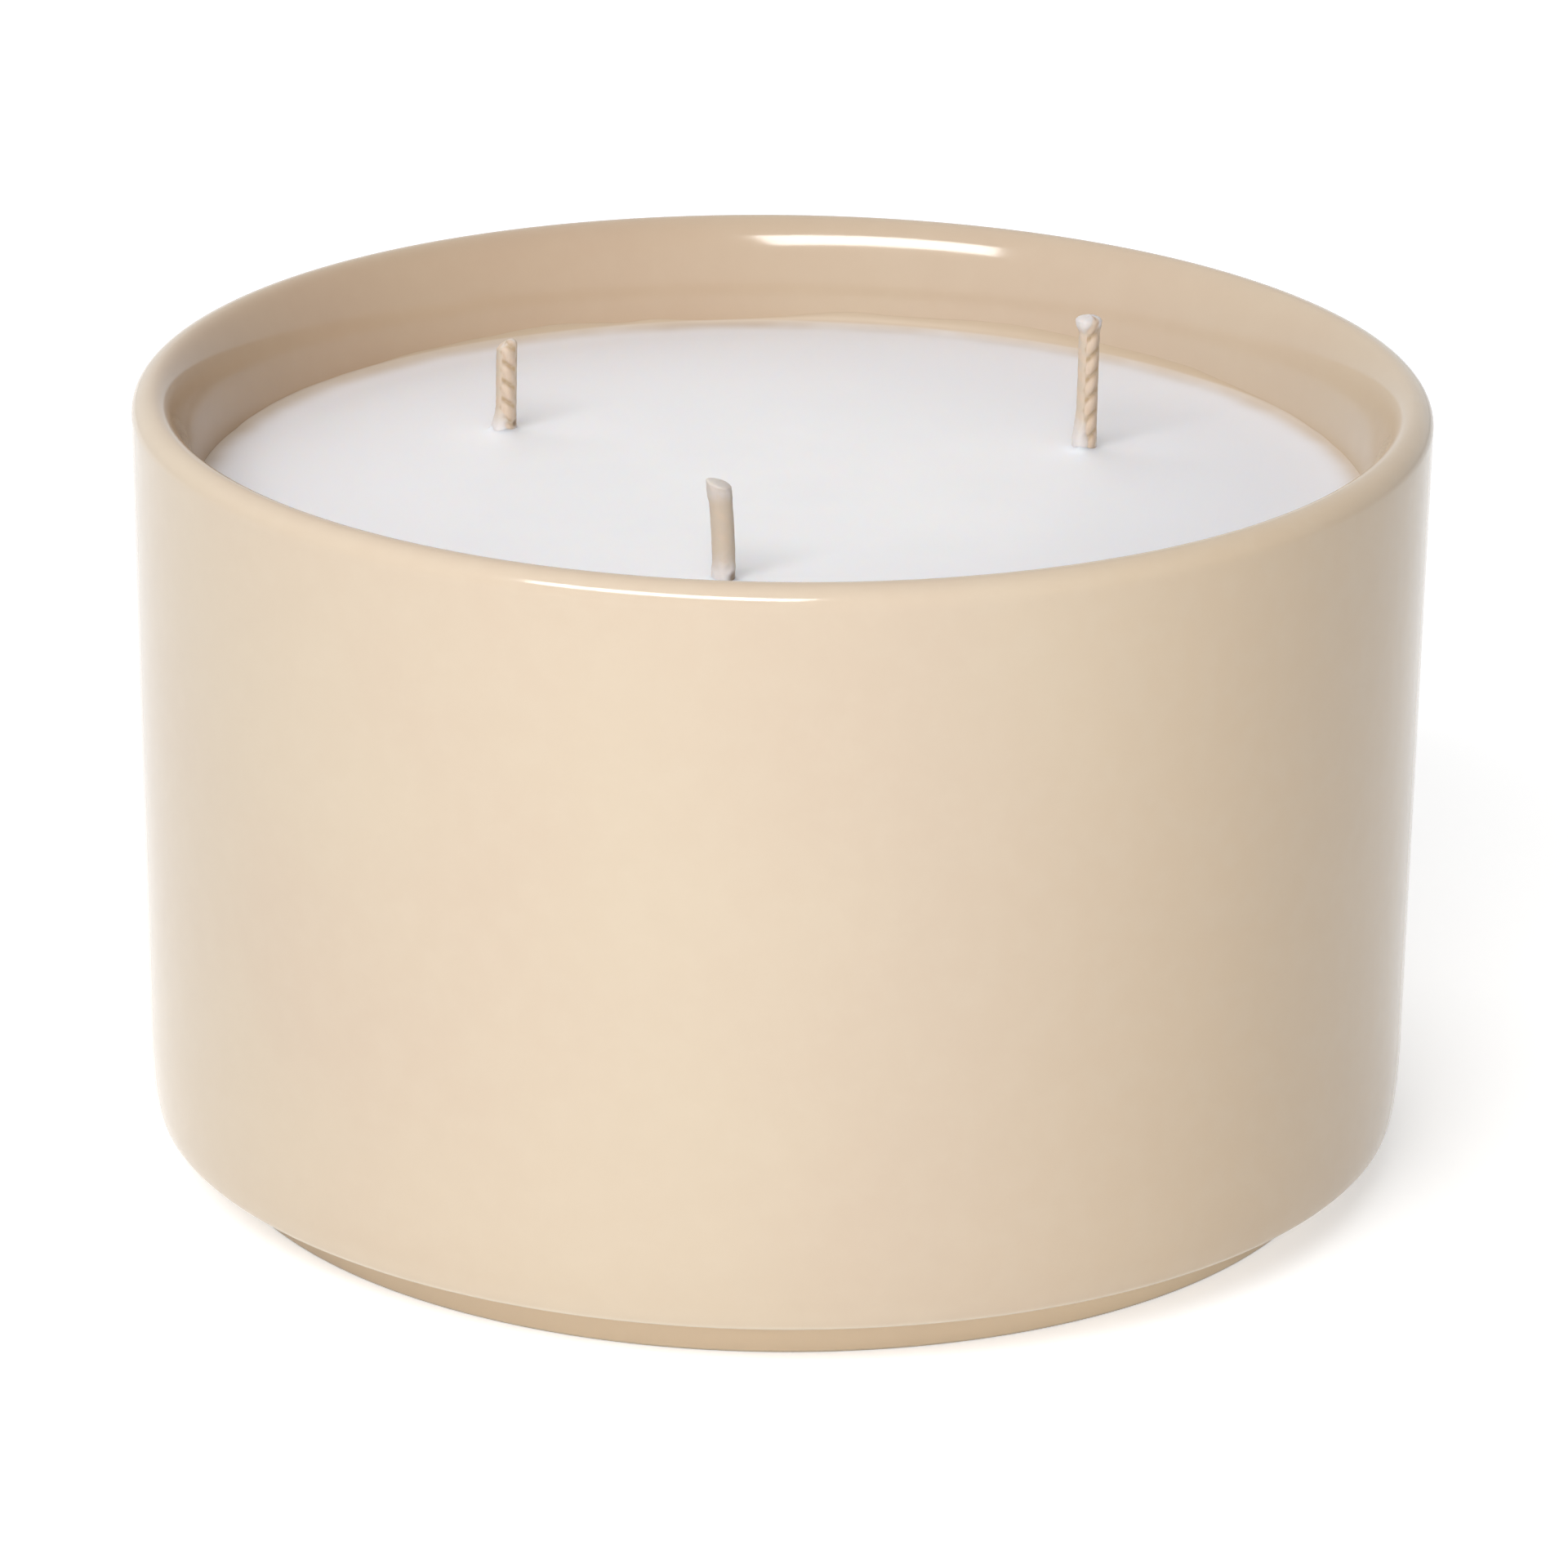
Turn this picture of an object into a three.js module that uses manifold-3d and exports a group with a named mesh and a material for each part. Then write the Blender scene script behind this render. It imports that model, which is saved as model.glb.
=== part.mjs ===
// A three-wick candle poured into a glazed stoneware bowl, unlit and never burned.
// Millimetres, +Z up. The origin is on the table under the middle of the bowl, and -Y is the front.

import * as THREE from "three";
import { mergeVertices } from "three/addons/utils/BufferGeometryUtils.js";
import Module from "manifold-3d";

const wasm = await Module();
wasm.setup();

// Bowl sizes: one fired casting with its foot ring
const rimRadius = 65; // outside, just under the lip
const bowlHeight = 80; // table to the top of the lip
const wallDraft = 0.8; // the outside radius shrinks by this much from the rim to the lower edge
const lipOuterRound = 2.1; // outer corner of the lip
const wallThickness = 6; // below the mouth
const mouthDepth = 12; // inside, the lip curves down into the wall along a quarter ellipse
const edgeRoundWidth = 1; // lower edge of the wall, a tall narrow quarter ellipse
const edgeRoundHeight = 10;
const footStep = 6.6; // the foot ring stands in from the lower edge of the wall
const footHeight = 4.9;
const footRingWidth = 5.5;
const footHollow = 3; // depth of the hollow inside the foot ring
const footEdgeRound = 0.8;
const floorThickness = 6;
const floorCornerRound = 6; // inside, between the floor and the wall

// Wax sizes
const waxBelowRim = 11; // top of the lip down to the wax
const waxGap = 0.3; // between the wax and whatever it was poured round
const waxEdgeRise = 0.6; // the wax creeps up the wall a little
const waxEdgeWidth = 1.6;
const moundHeight = 0.7; // wax drawn up round each wick
const moundRadius = 4.5;

// Wick sizes: a round cotton wick in a stamped sustainer, stuck to the floor with a dot of glue
const wickRadius = 1.22;
const neckGap = 0.3; // between the wick and the neck that grips it
const neckWall = 0.35;
const neckHeight = 6;
const sustainerRadius = 10;
const sustainerThickness = 0.4;
const glueRadius = 7.5;
const glueThickness = 1;

// Each wick's place and showing length. They were set by hand, so no two are alike.
const leftReach = 34.2; // out from the bowl's axis
const leftShows = 9.8; // above the wax
const leftLean = 0.1; // sideways at the tip
const rightReach = 34.4;
const rightShows = 14.3;
const rightLean = 0.1;
const frontReach = 30;
const frontShows = 10.3;
const frontLean = -0.6;
const wickPlaces = [
  { side: "left", bearing: 146.1, reach: leftReach, shows: leftShows, lean: leftLean },
  { side: "right", bearing: 25.7, reach: rightReach, shows: rightShows, lean: rightLean },
  { side: "front", bearing: 259.4, reach: frontReach, shows: frontShows, lean: frontLean },
];

// How finely round things are faceted
const bowlSides = 80;
const smallSides = 24;
const wickSides = 12;
const wickSteps = 20;
const arcSteps = 5;

// Heights and radii that follow from the sizes
const floorUnder = footHollow;
const floorTop = floorUnder + floorThickness;
const waxTop = bowlHeight - waxBelowRim;
const edgeTop = footHeight + edgeRoundHeight;
const wallTop = bowlHeight - lipOuterRound;
const lowerRadius = rimRadius - wallDraft;
const footRadius = lowerRadius - footStep;
const mouthBottom = bowlHeight - mouthDepth;
const lipRadius = rimRadius - lipOuterRound; // where the lip is highest

// Radius of the straight, slightly tapered outside wall at a height.
function outsideRadius(z) {
  return THREE.MathUtils.mapLinear(z, edgeTop, wallTop, lowerRadius, rimRadius);
}

// How far the inside curves in from the top of the lip to the wall
const mouthWidth = lipRadius - (outsideRadius(mouthBottom) - wallThickness);

// Radius of the inside wall at a height above the floor's corner.
function insideRadius(z) {
  if (z <= mouthBottom) return outsideRadius(z) - wallThickness;
  const share = Math.min((z - mouthBottom) / mouthDepth, 1);
  return lipRadius - mouthWidth * Math.sqrt(1 - share * share);
}

// Points of a quarter ellipse about a centre, from one angle to another, in degrees.
function quarterArc(centreR, centreZ, width, height, from, to) {
  const points = [];
  for (let i = 0; i <= arcSteps; i++) {
    const angle = THREE.MathUtils.degToRad(from + ((to - from) * i) / arcSteps);
    points.push([centreR + width * Math.cos(angle), centreZ + height * Math.sin(angle)]);
  }
  return points;
}

// Inside of the bowl from the middle of the floor out and up to a height, moved in by a gap.
function insideProfile(topHeight, gap) {
  const cornerTop = floorTop + floorCornerRound;
  const cornerRadius = insideRadius(cornerTop) - floorCornerRound;
  const corner = quarterArc(cornerRadius - gap, cornerTop, floorCornerRound, floorCornerRound, -90, 0);
  const wall = [mouthBottom, topHeight].filter((z) => z > cornerTop && z <= topHeight);
  const heights = [...new Set(wall)];
  return [[0, floorTop], ...corner, ...heights.map((z) => [insideRadius(z) - gap, z])];
}

// A profile of [radius, height] points turned about the upright axis.
function turned(profile, sides) {
  const points = profile.map(([r, z]) => new THREE.Vector2(Math.max(r, 0), z));
  return new THREE.LatheGeometry(points, sides).rotateX(Math.PI / 2);
}

// Only the positions are kept, so that shared corners merge into one closed surface.
function closedGeometry(geometry) {
  const bare = geometry.clone();
  bare.deleteAttribute("normal");
  bare.deleteAttribute("uv");
  return mergeVertices(bare, 1e-4);
}

function toSolid(geometry) {
  const closed = closedGeometry(geometry);
  const vertProperties = new Float32Array(closed.attributes.position.array);
  const triVerts = new Uint32Array(closed.index.array);
  return new wasm.Manifold(new wasm.Mesh({ numProp: 3, vertProperties, triVerts }));
}

function toGeometry(solid) {
  const { vertProperties, triVerts } = solid.getMesh();
  const geometry = new THREE.BufferGeometry();
  geometry.setAttribute("position", new THREE.BufferAttribute(vertProperties, 3));
  geometry.setIndex(new THREE.BufferAttribute(triVerts, 1));
  geometry.computeVertexNormals();
  return geometry;
}

function named(name, geometry, material) {
  const mesh = new THREE.Mesh(geometry, material);
  mesh.name = name;
  return mesh;
}

// The wick's middle line: upright through the wax, then bending a little sideways where it shows.
class WickRoute extends THREE.Curve {
  constructor(place, bottom) {
    super();
    this.place = place;
    this.bottom = bottom;
  }

  getPoint(t, target = new THREE.Vector3()) {
    const z = THREE.MathUtils.lerp(this.bottom, waxTop + this.place.shows, t);
    const bend = Math.max(z - waxTop, 0) / this.place.shows;
    return target.set(this.place.lean * bend * bend, 0, z);
  }
}

// The bowl: foot ring, softly rounded lower edge, nearly straight wall, rounded lip, mouth and floor
function makeBowl() {
  const ringInside = footRadius - footRingWidth;
  const ringOutside = footRadius - footEdgeRound;
  const profile = [
    [0, floorUnder],
    [ringInside, floorUnder],
    [ringInside, footEdgeRound],
    [ringInside + footEdgeRound, 0],
    ...quarterArc(ringOutside, footEdgeRound, footEdgeRound, footEdgeRound, -90, 0),
    [footRadius, footHeight],
    ...quarterArc(lowerRadius - edgeRoundWidth, edgeTop, edgeRoundWidth, edgeRoundHeight, -90, 0),
    ...quarterArc(lipRadius, wallTop, lipOuterRound, lipOuterRound, 0, 90),
    ...quarterArc(lipRadius, mouthBottom, mouthWidth, mouthDepth, 90, 180).slice(1, -1),
    ...insideProfile(mouthBottom, 0).reverse(),
  ];
  const glaze = new THREE.MeshStandardMaterial({ color: 0xe7d4b8, roughness: 0.28, metalness: 0 });
  return named("bowl", closedGeometry(turned(profile, bowlSides)), glaze);
}

// The space that a wick, its sustainer and its glue dot take up in the wax, grown by the gap
function makePocket(place) {
  const gripTop = floorTop + glueThickness + sustainerThickness;
  const neckRadius = wickRadius + neckGap + neckWall + waxGap;
  const boreRadius = wickRadius + waxGap;
  const wellRadius = Math.max(sustainerRadius, glueRadius) + waxGap;
  const profile = [
    [0, floorTop - waxGap],
    [wellRadius, floorTop - waxGap],
    [wellRadius, gripTop + waxGap],
    [neckRadius, gripTop + waxGap],
    [neckRadius, gripTop + neckHeight + waxGap],
    [boreRadius, gripTop + neckHeight + waxGap],
    [boreRadius, waxTop + moundHeight + waxEdgeRise + waxGap],
    [0, waxTop + moundHeight + waxEdgeRise + waxGap],
  ];
  return standing(turned(profile, smallSides), place);
}

// Moves a geometry made on the upright axis to a wick's place.
function standing(geometry, place) {
  const angle = THREE.MathUtils.degToRad(place.bearing);
  return geometry.translate(place.reach * Math.cos(angle), place.reach * Math.sin(angle), 0);
}

// The wax: poured into the mouth's lowest part, creeping up the wall, with a low mound round each wick
function makeWax() {
  const edgeRadius = insideRadius(waxTop + waxEdgeRise) - waxGap;
  const profile = [
    ...insideProfile(waxTop, waxGap),
    [edgeRadius, waxTop + waxEdgeRise],
    [edgeRadius - waxEdgeWidth / 3, waxTop + waxEdgeRise / 3],
    [edgeRadius - waxEdgeWidth, waxTop],
    [0, waxTop],
  ];
  let wax = toSolid(turned(profile, bowlSides));
  for (const place of wickPlaces) {
    const mound = [
      [0, waxTop - waxEdgeRise],
      [moundRadius, waxTop - waxEdgeRise],
      [moundRadius, waxTop],
      [moundRadius / 2, waxTop + moundHeight / 4],
      [0, waxTop + moundHeight],
    ];
    wax = wax.add(toSolid(standing(turned(mound, smallSides), place)));
  }
  for (const place of wickPlaces) wax = wax.subtract(toSolid(makePocket(place)));
  const material = new THREE.MeshStandardMaterial({ color: 0xefedec, roughness: 0.55, metalness: 0 });
  return named("wax_fill", toGeometry(wax), material);
}

// One wick: a solid round cord from the underside of its sustainer to its cut end above the wax
function makeWick(place) {
  const route = new WickRoute(place, floorTop + glueThickness);
  const section = new THREE.Shape();
  for (let i = 0; i < wickSides; i++) {
    const angle = (i * 2 * Math.PI) / wickSides;
    const x = wickRadius * Math.cos(angle);
    const y = wickRadius * Math.sin(angle);
    if (i === 0) section.moveTo(x, y);
    else section.lineTo(x, y);
  }
  section.closePath();
  const cord = new THREE.ExtrudeGeometry(section, { steps: wickSteps, extrudePath: route });
  const cotton = new THREE.MeshStandardMaterial({ color: 0xe6d3b4, roughness: 0.8, metalness: 0 });
  return named(`wick_${place.side}`, standing(closedGeometry(cord), place), cotton);
}

// The sustainer: a flat stamped disc with an upright neck that grips the wick
function makeSustainer(place) {
  const under = floorTop + glueThickness;
  const bore = wickRadius + neckGap;
  const profile = [
    [bore, under],
    [sustainerRadius, under],
    [sustainerRadius, under + sustainerThickness],
    [bore + neckWall, under + sustainerThickness],
    [bore + neckWall, under + sustainerThickness + neckHeight],
    [bore, under + sustainerThickness + neckHeight],
    [bore, under],
  ];
  const tin = new THREE.MeshStandardMaterial({ color: 0xc4c6c8, roughness: 0.35, metalness: 1 });
  return named(`sustainer_${place.side}`, standing(closedGeometry(turned(profile, smallSides)), place), tin);
}

// The dot of glue that holds the sustainer to the floor
function makeGlueDot(place) {
  const profile = [
    [0, floorTop],
    [glueRadius, floorTop],
    [glueRadius, floorTop + glueThickness],
    [0, floorTop + glueThickness],
  ];
  const glue = new THREE.MeshStandardMaterial({ color: 0xeeeadc, roughness: 0.5, metalness: 0 });
  return named(`glue_dot_${place.side}`, standing(closedGeometry(turned(profile, smallSides)), place), glue);
}

const candle = new THREE.Group();
candle.add(makeBowl());
candle.add(makeWax());
for (const place of wickPlaces) {
  candle.add(makeGlueDot(place));
  candle.add(makeSustainer(place));
  candle.add(makeWick(place));
}

export default candle;
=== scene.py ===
# %% [markdown]
# A three-wick candle in a glazed bowl, dressed in Blender.
#
# The candle is a slip-cast bowl, white wax poured nearly to the lip, and three braided cotton wicks
# that stand in stamped tin sustainers on the floor of the bowl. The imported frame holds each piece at
# its real size and place. This lesson gives every piece a finer mesh and a finish of its own, and
# then sets up the table, the light and the camera.
#
# The frame is loaded first, because every size that follows is read from it or is set beside it.

# %% Load the frame
from functools import partial
from math import atan2, cos, exp, hypot, pi, radians, sin, sqrt

import bmesh
import bpy
from mathutils import Matrix, Vector, noise


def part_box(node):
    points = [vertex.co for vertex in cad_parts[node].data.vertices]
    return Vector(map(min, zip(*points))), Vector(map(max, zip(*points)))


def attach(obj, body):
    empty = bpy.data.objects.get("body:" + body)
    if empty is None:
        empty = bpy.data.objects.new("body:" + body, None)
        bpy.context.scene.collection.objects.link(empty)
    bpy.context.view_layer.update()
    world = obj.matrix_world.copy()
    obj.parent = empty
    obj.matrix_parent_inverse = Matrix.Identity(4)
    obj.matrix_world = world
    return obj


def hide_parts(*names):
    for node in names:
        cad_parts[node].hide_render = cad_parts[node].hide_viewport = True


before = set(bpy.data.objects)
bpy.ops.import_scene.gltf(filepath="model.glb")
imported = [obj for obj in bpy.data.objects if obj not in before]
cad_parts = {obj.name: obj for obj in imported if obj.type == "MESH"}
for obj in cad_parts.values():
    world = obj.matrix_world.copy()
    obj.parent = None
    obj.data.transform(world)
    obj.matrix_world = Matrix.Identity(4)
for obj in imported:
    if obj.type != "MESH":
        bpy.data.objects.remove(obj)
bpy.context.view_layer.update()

print("nodes in the frame:", sorted(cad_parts))

# %% [markdown]
# The sizes of the bowl.
#
# The outside radius and the height come from the frame's box. The rest are the same named sizes as
# in the solid model, in metres: the lip is a small round outside and a long quarter ellipse inside,
# and the lower edge is a tall narrow quarter ellipse that ends in a crisp turn above the foot ring.

# %% Sizes of the bowl
mm = 0.001
bowl_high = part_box("bowl")[1]
rim_radius = bowl_high.x
bowl_height = bowl_high.z
wall_draft = 0.8 * mm
lip_outer_round = 2.1 * mm
wall_thickness = 6 * mm
mouth_depth = 12 * mm
edge_round_width = 1 * mm
edge_round_height = 10 * mm
edge_turn = 0.45 * mm
foot_step = 6.6 * mm
foot_height = 4.9 * mm
foot_ring_width = 5.5 * mm
foot_hollow = 3 * mm
foot_edge_round = 0.4 * mm
floor_thickness = 6 * mm
corner_round = 6 * mm

lower_radius = rim_radius - wall_draft
foot_radius = lower_radius - foot_step
edge_top = foot_height + edge_round_height
wall_top = bowl_height - lip_outer_round
mouth_bottom = bowl_height - mouth_depth
lip_radius = rim_radius - lip_outer_round
floor_top = foot_hollow + floor_thickness


def outside_radius(z):
    """Radius of the outside wall at a height."""
    return lower_radius + (rim_radius - lower_radius) * (z - edge_top) / (wall_top - edge_top)


mouth_width = lip_radius - (outside_radius(mouth_bottom) - wall_thickness)


def inside_radius(z):
    """Radius of the inside wall at a height, from the floor's corner up to the lip."""
    if z <= mouth_bottom:
        return outside_radius(z) - wall_thickness
    share = min((z - mouth_bottom) / mouth_depth, 1)
    return lip_radius - mouth_width * sqrt(1 - share * share)


print(f"bowl {2 * rim_radius / mm:.1f} mm across and {bowl_height / mm:.1f} mm high")

# %% [markdown]
# The sizes of the wax and the wicks.
#
# The wax level and the wicks are read from the frame too. A wick stands in the middle of its
# sustainer, so the sustainer's box gives the wick's place, and the wick's own box gives its radius,
# its top and how far its tip leans to one side.

# %% Sizes of the wax and the wicks
wax_edge_rise = 0.6 * mm
wax_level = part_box("wax_fill")[1].z - wax_edge_rise
sustainer_thickness = 0.4 * mm
sides = ("left", "right", "front")
wick_places = {}
for side in sides:
    plate_low, plate_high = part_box("sustainer_" + side)
    wick_low, wick_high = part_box("wick_" + side)
    middle = (plate_low + plate_high) / 2
    wick_places[side] = {
        "x": middle.x,
        "y": middle.y,
        "radius": (wick_high.y - wick_low.y) / 2,
        "top": wick_high.z,
        "lean": wick_low.x + wick_high.x - 2 * middle.x,
    }
    print(side, {name: round(value / mm, 2) for name, value in wick_places[side].items()})
print(f"wax level {wax_level / mm:.2f} mm")

# %% [markdown]
# Helpers for node trees.
#
# Geometry Nodes and materials are both graphs, and building them line by line gets long. So small
# helpers add a node and fill its inputs, do sums with numbers and vectors, split a vector, and
# measure the distance from the axis. Others start a Geometry Nodes tree with named inputs, end it,
# and run it on a drawn line.


# %% Helpers that build node trees
def wire(tree, node, wires):
    """Fills a node's inputs with values or with other nodes' outputs."""
    for socket, value in wires.items():
        if isinstance(value, bpy.types.NodeSocket):
            tree.links.new(value, node.inputs[socket])
        else:
            node.inputs[socket].default_value = value


def put(tree, kind, wires=None, **settings):
    """Adds one node, sets its options and fills its inputs."""
    made = tree.nodes.new(kind)
    for option, value in settings.items():
        setattr(made, option, value)
    wire(tree, made, wires or {})
    return made


def calc(tree, operation, *terms, clamp=False):
    """One Math node. Its terms are numbers or outputs of other nodes."""
    made = put(tree, "ShaderNodeMath", dict(enumerate(terms)), operation=operation, use_clamp=clamp)
    return made.outputs[0]


def vector_calc(tree, operation, *terms, **named):
    """One Vector Math node. A length or a distance comes out as a number."""
    made = put(tree, "ShaderNodeVectorMath", {**dict(enumerate(terms)), **named}, operation=operation)
    return made.outputs["Value" if operation in ("LENGTH", "DISTANCE") else "Vector"]


def parts_of(tree, vector):
    """The X, Y and Z of a vector."""
    return put(tree, "ShaderNodeSeparateXYZ", {0: vector}).outputs


def from_axis(tree, where):
    """Distance of a point from the vertical axis."""
    return vector_calc(tree, "LENGTH", vector_calc(tree, "MULTIPLY", where, (1, 1, 0)))


def geometry_tree(title, takes, sizes):
    """A Geometry Nodes tree with one geometry input, named sizes and a material input."""
    tree = bpy.data.node_groups.new(title, "GeometryNodeTree")
    tree.interface.new_socket("Geometry", in_out="OUTPUT", socket_type="NodeSocketGeometry")
    tree.interface.new_socket(takes, in_out="INPUT", socket_type="NodeSocketGeometry")
    for name, value in sizes.items():
        kind = {int: "NodeSocketInt", float: "NodeSocketFloat", tuple: "NodeSocketVector"}[type(value)]
        tree.interface.new_socket(name, in_out="INPUT", socket_type=kind).default_value = value
    tree.interface.new_socket("Material", in_out="INPUT", socket_type="NodeSocketMaterial")
    return tree, put(tree, "NodeGroupInput").outputs


def end_tree(tree, geometry, material):
    """Every tree ends alike, with realized instances and a material."""
    real = put(tree, "GeometryNodeRealizeInstances", {"Geometry": geometry}).outputs[0]
    painted = put(tree, "GeometryNodeSetMaterial", {"Geometry": real, "Material": material})
    put(tree, "NodeGroupOutput", {0: painted.outputs[0]})
    print(tree.name, "has", len(tree.nodes), "nodes")


def add(name, data):
    """Puts a new object into the scene."""
    made = bpy.data.objects.new(name, data)
    bpy.context.scene.collection.objects.link(made)
    return made


def keep_result(piece, modifier):
    """Replaces a piece's mesh by what its modifier makes of it."""
    bpy.context.view_layer.update()
    evaluated = piece.evaluated_get(bpy.context.evaluated_depsgraph_get())
    plain = bpy.data.meshes.new_from_object(evaluated)
    piece.modifiers.remove(modifier)
    piece.data = plain


def run_tree(name, tree, line, values, closed=False):
    """Draws the line's points, runs the tree on them and keeps the result as a plain mesh."""
    edges = [(i, i + 1) for i in range(len(line) - 1)]
    if closed:
        edges.append((len(line) - 1, 0))
    drawn = bpy.data.meshes.new(name + "_line")
    drawn.from_pydata(line, edges, [])
    piece = add(name, drawn)
    modifier = piece.modifiers.new("Nodes", "NODES")
    modifier.node_group = tree
    for socket in tree.interface.items_tree:
        if socket.in_out == "INPUT" and socket.name in values:
            modifier[socket.identifier] = values[socket.name]
    keep_result(piece, modifier)
    bpy.data.meshes.remove(drawn)
    piece.data.name = name
    print(name, "has", len(piece.data.polygons), "faces")
    return piece


# %% [markdown]
# The turning tree.
#
# A bowl, a fill of wax, a stamped plate and a blob of glue are all round, so one tree can turn them
# all: it takes half a section as a line, sweeps it round a circle, and merges the points that meet
# on the axis. Noise with a fixed seed then presses the surface in a little, never out, so that the
# piece isn't perfectly true but stays inside its measured size. It leaves the part below one height
# and inside one radius alone, because wax and table touch there. Edges sharper than a set angle stay
# crisp, and all others are shaded smooth. Short names stand for this tree's nodes and sums.

# %% The turning tree
turning_tree, given = geometry_tree(
    "Turned piece",
    "Half Section",
    {"Sides": 256, "Turning Radius": 0.05, "Unevenness": 0.0, "Wave Length": 0.03, "Still Below": 0.0,
     "Still Within": 0.0, "Crisp Angle": radians(38), "Seed": 0.0},
)
node = partial(put, turning_tree)
times = partial(calc, turning_tree, "MULTIPLY")
less = partial(calc, turning_tree, "SUBTRACT")
over = partial(calc, turning_tree, "DIVIDE")
line = node("GeometryNodeMeshToCurve", {0: given["Half Section"]}).outputs[0]
inward = times(given["Turning Radius"], -1)
to_circle = node("ShaderNodeCombineXYZ", {"X": inward}).outputs[0]
placed = {"Geometry": line, "Translation": to_circle, "Scale": (1, -1, 1)}
section = node("GeometryNodeTransform", placed).outputs[0]
ring = {"Resolution": given["Sides"], "Radius": given["Turning Radius"]}
circle = node("GeometryNodeCurvePrimitiveCircle", ring).outputs[0]
swept = node("GeometryNodeCurveToMesh", {"Curve": circle, "Profile Curve": section}).outputs[0]
merged = node("GeometryNodeMergeByDistance", {"Geometry": swept, "Distance": 1e-6}).outputs[0]
facing = node("GeometryNodeFlipFaces", {"Mesh": merged}).outputs[0]

settle_height = 5 * mm
settle_width = 1 * mm
place = node("GeometryNodeInputPosition").outputs[0]
height = parts_of(turning_tree, place)["Z"]
radius = from_axis(turning_tree, place)
waves = node(
    "ShaderNodeTexNoise",
    {"Vector": place, "W": given["Seed"], "Scale": over(1, given["Wave Length"]), "Detail": 1.0},
    noise_dimensions="4D",
).outputs["Fac"]
above = less(height, given["Still Below"])
outside = less(radius, given["Still Within"])
free_above = over(above, settle_height, clamp=True)
free_outside = over(outside, settle_width, clamp=True)
free = times(free_above, free_outside)
press = times(times(waves, free), given["Unevenness"])
normal = node("GeometryNodeInputNormal").outputs[0]
push = vector_calc(turning_tree, "SCALE", normal, Scale=times(press, -1))
pressed = node("GeometryNodeSetPosition", {"Geometry": facing, "Offset": push}).outputs[0]
smooth = node("GeometryNodeSetShadeSmooth", {"Geometry": pressed}).outputs[0]
bend = node("GeometryNodeInputMeshEdgeAngle").outputs["Unsigned Angle"]
crisp = node(
    "GeometryNodeSetShadeSmooth",
    {"Geometry": smooth, "Selection": calc(turning_tree, "GREATER_THAN", bend, given["Crisp Angle"]),
     "Shade Smooth": False},
    domain="EDGE",
).outputs[0]
end_tree(turning_tree, crisp, given["Material"])


def turn_piece(name, half_section, material=None, closed=False, **sizes):
    """Turns a half section of radius and height pairs. The sizes are the tree's inputs."""
    values = {size.replace("_", " ").title(): value for size, value in sizes.items()}
    if material:
        values["Material"] = material
    return run_tree(name, turning_tree, [(r, z, 0) for r, z in half_section], values, closed)


# %% [markdown]
# The glaze.
#
# The bowl has a warm beige glaze with a clear gloss. A glaze is glass over clay, so its colour is
# never quite even: it drifts between a yellower and a pinker beige over a few centimetres and has
# faint mottles a few millimetres wide. Painted shade tints the outside a warmer, deeper beige on the
# right, the side away from the main light, and darkens the inside, most of all on the left, where the
# wall faces away from the light. A pale line of painted highlight runs along the lowest edge of the
# wall. Painted light from the white table makes the foot ring's side lighter and oranger, most of all
# on the right. Its underside is wiped bare before firing, so it is dry, rough clay.
# Object coordinates drive it all, so that it stays put on the piece.


# %% Helpers for materials
def new_material(name):
    """A material with an empty tree but for its Principled shader and output."""
    material = bpy.data.materials.new(name)
    material.use_nodes = True
    tree = material.node_tree
    return material, tree, tree.nodes["Principled BSDF"]


def mixed(tree, share, first, second, **settings):
    """A Mix node between two colours."""
    wires = {0: share, 6: first, 7: second}
    return put(tree, "ShaderNodeMix", wires, data_type="RGBA", **settings).outputs[2]


def ease(tree, value, low, high):
    """A smooth step from 0 at low to 1 at high."""
    wires = {"Value": value, "From Min": low, "From Max": high}
    return put(tree, "ShaderNodeMapRange", wires, interpolation_type="SMOOTHSTEP").outputs["Result"]


def fade(tree, value, low, high):
    """The same step the other way, from 1 at low to 0 at high."""
    return calc(tree, "SUBTRACT", 1, ease(tree, value, low, high))


def cloud(tree, where, wave_length, detail=2.0):
    """Noise whose features are about one wave length wide."""
    wires = {"Vector": where, "Scale": 1 / wave_length, "Detail": detail}
    return put(tree, "ShaderNodeTexNoise", wires).outputs["Fac"]


def bumps(tree, height, strength, distance):
    """The normal of a fine relief that is too small to model."""
    wires = {"Height": height, "Strength": strength, "Distance": distance}
    return put(tree, "ShaderNodeBump", wires).outputs[0]


# %% The glaze
glaze, tree, shader = new_material("glaze")
where = put(tree, "ShaderNodeTexCoord").outputs["Object"]
aside, _, height = parts_of(tree, where)
reach = from_axis(tree, where)
warm_beige = (0.658, 0.544, 0.409, 1)
pink_beige = (0.644, 0.520, 0.394, 1)
thin_beige = (0.689, 0.584, 0.452, 1)
# painted shade: a warmer, deeper beige for the outside's right, the side away from the main light
shade_right_beige = (0.665, 0.520, 0.365, 1)
# painted shade for the inside, multiplied over the glaze: darkest on the left, where the wall faces away
# from the light
shaded_inside_left = (0.79, 0.69, 0.61, 1)
shaded_inside_right = (0.87, 0.84, 0.815, 1)
# painted light: the foot ring's side, lighter and oranger as if lit by light bounced from the table, most on
# the right
foot_bounce_lit = (0.76, 0.60, 0.42, 1)
foot_bounce_lit_right = (0.93, 0.755, 0.53, 1)
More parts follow.
